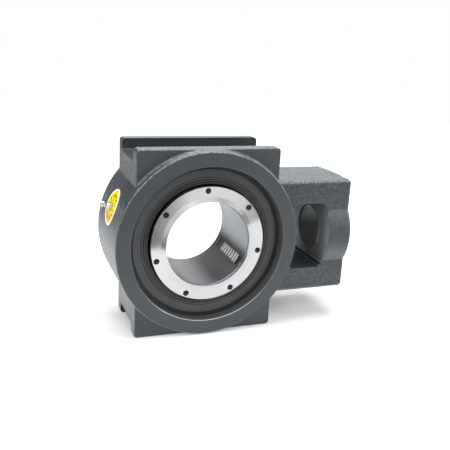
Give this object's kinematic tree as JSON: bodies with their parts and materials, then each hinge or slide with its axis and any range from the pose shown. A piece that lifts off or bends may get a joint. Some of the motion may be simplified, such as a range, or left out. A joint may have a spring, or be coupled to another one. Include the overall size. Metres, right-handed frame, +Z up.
{
  "type": "take up bearing unit",
  "caption": "Cast take up housing with slide ways, a nose with nut window and a self aligning roller bearing that clamps a shaft by a split stepped sleeve and collar.",
  "frame": {"origin": "on the shaft axis, halfway through the housing's thickness", "axes": "+X along the take up screw towards the nose, -Y the side of the mounting collar, +Z up"},
  "size_m": [0.264, 0.0952, 0.1926],
  "materials": {
    "housing_paint": "grey paint on cast iron",
    "bearing_steel": "ground",
    "sleeve_steel": "turned, phosphated",
    "collar_zinc": "turned, bright plated",
    "screw_black": "black oxide",
    "cage_steel": "pressed",
    "seal_rubber": "moulded",
    "ring_steel": "phosphated spring steel",
    "nipple_zinc": "zinc plated",
    "label_yellow": "printed film"
  },
  "bodies": {
    "housing": {"housing": "housing_paint", "outer_ring": "bearing_steel", "seal_front": "seal_rubber", "seal_rear": "seal_rubber", "retaining_ring_front": "ring_steel", "retaining_ring_rear": "ring_steel", "grease_nipple": "nipple_zinc", "nipple_spring": "ring_steel", "grease_label": "label_yellow"},
    "guide": {"guide_ring": "bearing_steel"},
    "shaft_assembly": {"inner_ring": "bearing_steel", "stepped_sleeve": "sleeve_steel", "mounting_collar": "collar_zinc", "backing_collar": "collar_zinc", "sleeve_wire_ring": "ring_steel", "grub_screw_1": "screw_black", "grub_screw_2": "screw_black", "grub_screw_3": "screw_black", "grub_screw_4": "screw_black", "grub_screw_5": "screw_black", "grub_screw_6": "screw_black", "grub_screw_7": "screw_black"},
    "cages": {"cage_front": "cage_steel", "cage_rear": "cage_steel"},
    "nipple_ball": {"nipple_ball": "bearing_steel"},
    "roller_front_01": {"roller_front_01": "bearing_steel"},
    "roller_front_02": {"roller_front_02": "bearing_steel"},
    "roller_front_03": {"roller_front_03": "bearing_steel"},
    "roller_front_04": {"roller_front_04": "bearing_steel"},
    "roller_front_05": {"roller_front_05": "bearing_steel"},
    "roller_front_06": {"roller_front_06": "bearing_steel"},
    "roller_front_07": {"roller_front_07": "bearing_steel"},
    "roller_front_08": {"roller_front_08": "bearing_steel"},
    "roller_front_09": {"roller_front_09": "bearing_steel"},
    "roller_front_10": {"roller_front_10": "bearing_steel"},
    "roller_front_11": {"roller_front_11": "bearing_steel"},
    "roller_front_12": {"roller_front_12": "bearing_steel"},
    "roller_front_13": {"roller_front_13": "bearing_steel"},
    "roller_front_14": {"roller_front_14": "bearing_steel"},
    "roller_front_15": {"roller_front_15": "bearing_steel"},
    "roller_front_16": {"roller_front_16": "bearing_steel"},
    "roller_front_17": {"roller_front_17": "bearing_steel"},
    "roller_rear_01": {"roller_rear_01": "bearing_steel"},
    "roller_rear_02": {"roller_rear_02": "bearing_steel"},
    "roller_rear_03": {"roller_rear_03": "bearing_steel"},
    "roller_rear_04": {"roller_rear_04": "bearing_steel"},
    "roller_rear_05": {"roller_rear_05": "bearing_steel"},
    "roller_rear_06": {"roller_rear_06": "bearing_steel"},
    "roller_rear_07": {"roller_rear_07": "bearing_steel"},
    "roller_rear_08": {"roller_rear_08": "bearing_steel"},
    "roller_rear_09": {"roller_rear_09": "bearing_steel"},
    "roller_rear_10": {"roller_rear_10": "bearing_steel"},
    "roller_rear_11": {"roller_rear_11": "bearing_steel"},
    "roller_rear_12": {"roller_rear_12": "bearing_steel"},
    "roller_rear_13": {"roller_rear_13": "bearing_steel"},
    "roller_rear_14": {"roller_rear_14": "bearing_steel"},
    "roller_rear_15": {"roller_rear_15": "bearing_steel"},
    "roller_rear_16": {"roller_rear_16": "bearing_steel"},
    "roller_rear_17": {"roller_rear_17": "bearing_steel"}
  },
  "joints": [
    {"name": "misalignment", "type": "hinge", "parent": "housing", "child": "guide", "pos_m": [0, 0, 0], "axis": [0, 0, 1], "range_deg": [-1.5, 1.5]},
    {"name": "shaft_spin", "type": "hinge", "parent": "guide", "child": "shaft_assembly", "pos_m": [0, 0, 0], "axis": [0, 1, 0], "continuous": true},
    {"name": "cage_spin", "type": "hinge", "parent": "guide", "child": "cages", "pos_m": [0, 0, 0], "axis": [0, 1, 0], "continuous": true},
    {"name": "roller_front_01_spin", "type": "hinge", "parent": "cages", "child": "roller_front_01", "pos_m": [0.06256, -0.01108, -0.0058], "axis": [0.1729, 0.9848, -0.016], "continuous": true},
    {"name": "roller_front_02_spin", "type": "hinge", "parent": "cages", "child": "roller_front_02", "pos_m": [0.06043, -0.01108, 0.01719], "axis": [0.167, 0.9848, 0.0475], "continuous": true},
    {"name": "roller_front_03_spin", "type": "hinge", "parent": "cages", "child": "roller_front_03", "pos_m": [0.05014, -0.01108, 0.03786], "axis": [0.1386, 0.9848, 0.1046], "continuous": true},
    {"name": "roller_front_04_spin", "type": "hinge", "parent": "cages", "child": "roller_front_04", "pos_m": [0.03308, -0.01108, 0.05342], "axis": [0.0914, 0.9848, 0.1476], "continuous": true},
    {"name": "roller_front_05_spin", "type": "hinge", "parent": "cages", "child": "roller_front_05", "pos_m": [0.01155, -0.01108, 0.06176], "axis": [0.0319, 0.9848, 0.1707], "continuous": true},
    {"name": "roller_front_06_spin", "type": "hinge", "parent": "cages", "child": "roller_front_06", "pos_m": [-0.01155, -0.01108, 0.06176], "axis": [-0.0319, 0.9848, 0.1707], "continuous": true},
    {"name": "roller_front_07_spin", "type": "hinge", "parent": "cages", "child": "roller_front_07", "pos_m": [-0.03308, -0.01108, 0.05342], "axis": [-0.0914, 0.9848, 0.1476], "continuous": true},
    {"name": "roller_front_08_spin", "type": "hinge", "parent": "cages", "child": "roller_front_08", "pos_m": [-0.05014, -0.01108, 0.03786], "axis": [-0.1386, 0.9848, 0.1046], "continuous": true},
    {"name": "roller_front_09_spin", "type": "hinge", "parent": "cages", "child": "roller_front_09", "pos_m": [-0.06043, -0.01108, 0.01719], "axis": [-0.167, 0.9848, 0.0475], "continuous": true},
    {"name": "roller_front_10_spin", "type": "hinge", "parent": "cages", "child": "roller_front_10", "pos_m": [-0.06256, -0.01108, -0.0058], "axis": [-0.1729, 0.9848, -0.016], "continuous": true},
    {"name": "roller_front_11_spin", "type": "hinge", "parent": "cages", "child": "roller_front_11", "pos_m": [-0.05624, -0.01108, -0.02801], "axis": [-0.1554, 0.9848, -0.0774], "continuous": true},
    {"name": "roller_front_12_spin", "type": "hinge", "parent": "cages", "child": "roller_front_12", "pos_m": [-0.04233, -0.01108, -0.04643], "axis": [-0.117, 0.9848, -0.1283], "continuous": true},
    {"name": "roller_front_13_spin", "type": "hinge", "parent": "cages", "child": "roller_front_13", "pos_m": [-0.0227, -0.01108, -0.05859], "axis": [-0.0627, 0.9848, -0.1619], "continuous": true},
    {"name": "roller_front_14_spin", "type": "hinge", "parent": "cages", "child": "roller_front_14", "pos_m": [0, -0.01108, -0.06283], "axis": [0, 0.9848, -0.1736], "continuous": true},
    {"name": "roller_front_15_spin", "type": "hinge", "parent": "cages", "child": "roller_front_15", "pos_m": [0.0227, -0.01108, -0.05859], "axis": [0.0627, 0.9848, -0.1619], "continuous": true},
    {"name": "roller_front_16_spin", "type": "hinge", "parent": "cages", "child": "roller_front_16", "pos_m": [0.04233, -0.01108, -0.04643], "axis": [0.117, 0.9848, -0.1283], "continuous": true},
    {"name": "roller_front_17_spin", "type": "hinge", "parent": "cages", "child": "roller_front_17", "pos_m": [0.05624, -0.01108, -0.02801], "axis": [0.1554, 0.9848, -0.0774], "continuous": true},
    {"name": "roller_rear_01_spin", "type": "hinge", "parent": "cages", "child": "roller_rear_01", "pos_m": [0.06256, 0.01108, 0.0058], "axis": [-0.1729, 0.9848, -0.016], "continuous": true},
    {"name": "roller_rear_02_spin", "type": "hinge", "parent": "cages", "child": "roller_rear_02", "pos_m": [0.05624, 0.01108, 0.02801], "axis": [-0.1554, 0.9848, -0.0774], "continuous": true},
    {"name": "roller_rear_03_spin", "type": "hinge", "parent": "cages", "child": "roller_rear_03", "pos_m": [0.04233, 0.01108, 0.04643], "axis": [-0.117, 0.9848, -0.1283], "continuous": true},
    {"name": "roller_rear_04_spin", "type": "hinge", "parent": "cages", "child": "roller_rear_04", "pos_m": [0.0227, 0.01108, 0.05859], "axis": [-0.0627, 0.9848, -0.1619], "continuous": true},
    {"name": "roller_rear_05_spin", "type": "hinge", "parent": "cages", "child": "roller_rear_05", "pos_m": [0, 0.01108, 0.06283], "axis": [0, 0.9848, -0.1736], "continuous": true},
    {"name": "roller_rear_06_spin", "type": "hinge", "parent": "cages", "child": "roller_rear_06", "pos_m": [-0.0227, 0.01108, 0.05859], "axis": [0.0627, 0.9848, -0.1619], "continuous": true},
    {"name": "roller_rear_07_spin", "type": "hinge", "parent": "cages", "child": "roller_rear_07", "pos_m": [-0.04233, 0.01108, 0.04643], "axis": [0.117, 0.9848, -0.1283], "continuous": true},
    {"name": "roller_rear_08_spin", "type": "hinge", "parent": "cages", "child": "roller_rear_08", "pos_m": [-0.05624, 0.01108, 0.02801], "axis": [0.1554, 0.9848, -0.0774], "continuous": true},
    {"name": "roller_rear_09_spin", "type": "hinge", "parent": "cages", "child": "roller_rear_09", "pos_m": [-0.06256, 0.01108, 0.0058], "axis": [0.1729, 0.9848, -0.016], "continuous": true},
    {"name": "roller_rear_10_spin", "type": "hinge", "parent": "cages", "child": "roller_rear_10", "pos_m": [-0.06043, 0.01108, -0.01719], "axis": [0.167, 0.9848, 0.0475], "continuous": true},
    {"name": "roller_rear_11_spin", "type": "hinge", "parent": "cages", "child": "roller_rear_11", "pos_m": [-0.05014, 0.01108, -0.03786], "axis": [0.1386, 0.9848, 0.1046], "continuous": true},
    {"name": "roller_rear_12_spin", "type": "hinge", "parent": "cages", "child": "roller_rear_12", "pos_m": [-0.03308, 0.01108, -0.05342], "axis": [0.0914, 0.9848, 0.1476], "continuous": true},
    {"name": "roller_rear_13_spin", "type": "hinge", "parent": "cages", "child": "roller_rear_13", "pos_m": [-0.01155, 0.01108, -0.06176], "axis": [0.0319, 0.9848, 0.1707], "continuous": true},
    {"name": "roller_rear_14_spin", "type": "hinge", "parent": "cages", "child": "roller_rear_14", "pos_m": [0.01155, 0.01108, -0.06176], "axis": [-0.0319, 0.9848, 0.1707], "continuous": true},
    {"name": "roller_rear_15_spin", "type": "hinge", "parent": "cages", "child": "roller_rear_15", "pos_m": [0.03308, 0.01108, -0.05342], "axis": [-0.0914, 0.9848, 0.1476], "continuous": true},
    {"name": "roller_rear_16_spin", "type": "hinge", "parent": "cages", "child": "roller_rear_16", "pos_m": [0.05014, 0.01108, -0.03786], "axis": [-0.1386, 0.9848, 0.1046], "continuous": true},
    {"name": "roller_rear_17_spin", "type": "hinge", "parent": "cages", "child": "roller_rear_17", "pos_m": [0.06043, 0.01108, -0.01719], "axis": [-0.167, 0.9848, 0.0475], "continuous": true},
    {"name": "nipple_valve", "type": "slide", "parent": "housing", "child": "nipple_ball", "axis": [0.9426, 0, -0.3338], "range_m": [0, 0.001], "stiffness_N_per_m": 300, "springref_m": -0.003, "deforming": ["nipple_spring"]}
  ],
  "couplings": [
    {"joint": "cage_spin", "follows": "shaft_spin", "ratio": 0.41967},
    {"joint": "roller_front_01_spin", "follows": "shaft_spin", "ratio": -2.9858},
    {"joint": "roller_front_02_spin", "follows": "shaft_spin", "ratio": -2.9858},
    {"joint": "roller_front_03_spin", "follows": "shaft_spin", "ratio": -2.9858},
    {"joint": "roller_front_04_spin", "follows": "shaft_spin", "ratio": -2.9858},
    {"joint": "roller_front_05_spin", "follows": "shaft_spin", "ratio": -2.9858},
    {"joint": "roller_front_06_spin", "follows": "shaft_spin", "ratio": -2.9858},
    {"joint": "roller_front_07_spin", "follows": "shaft_spin", "ratio": -2.9858},
    {"joint": "roller_front_08_spin", "follows": "shaft_spin", "ratio": -2.9858},
    {"joint": "roller_front_09_spin", "follows": "shaft_spin", "ratio": -2.9858},
    {"joint": "roller_front_10_spin", "follows": "shaft_spin", "ratio": -2.9858},
    {"joint": "roller_front_11_spin", "follows": "shaft_spin", "ratio": -2.9858},
    {"joint": "roller_front_12_spin", "follows": "shaft_spin", "ratio": -2.9858},
    {"joint": "roller_front_13_spin", "follows": "shaft_spin", "ratio": -2.9858},
    {"joint": "roller_front_14_spin", "follows": "shaft_spin", "ratio": -2.9858},
    {"joint": "roller_front_15_spin", "follows": "shaft_spin", "ratio": -2.9858},
    {"joint": "roller_front_16_spin", "follows": "shaft_spin", "ratio": -2.9858},
    {"joint": "roller_front_17_spin", "follows": "shaft_spin", "ratio": -2.9858},
    {"joint": "roller_rear_01_spin", "follows": "shaft_spin", "ratio": -2.9858},
    {"joint": "roller_rear_02_spin", "follows": "shaft_spin", "ratio": -2.9858},
    {"joint": "roller_rear_03_spin", "follows": "shaft_spin", "ratio": -2.9858},
    {"joint": "roller_rear_04_spin", "follows": "shaft_spin", "ratio": -2.9858},
    {"joint": "roller_rear_05_spin", "follows": "shaft_spin", "ratio": -2.9858},
    {"joint": "roller_rear_06_spin", "follows": "shaft_spin", "ratio": -2.9858},
    {"joint": "roller_rear_07_spin", "follows": "shaft_spin", "ratio": -2.9858},
    {"joint": "roller_rear_08_spin", "follows": "shaft_spin", "ratio": -2.9858},
    {"joint": "roller_rear_09_spin", "follows": "shaft_spin", "ratio": -2.9858},
    {"joint": "roller_rear_10_spin", "follows": "shaft_spin", "ratio": -2.9858},
    {"joint": "roller_rear_11_spin", "follows": "shaft_spin", "ratio": -2.9858},
    {"joint": "roller_rear_12_spin", "follows": "shaft_spin", "ratio": -2.9858},
    {"joint": "roller_rear_13_spin", "follows": "shaft_spin", "ratio": -2.9858},
    {"joint": "roller_rear_14_spin", "follows": "shaft_spin", "ratio": -2.9858},
    {"joint": "roller_rear_15_spin", "follows": "shaft_spin", "ratio": -2.9858},
    {"joint": "roller_rear_16_spin", "follows": "shaft_spin", "ratio": -2.9858},
    {"joint": "roller_rear_17_spin", "follows": "shaft_spin", "ratio": -2.9858}
  ]
}
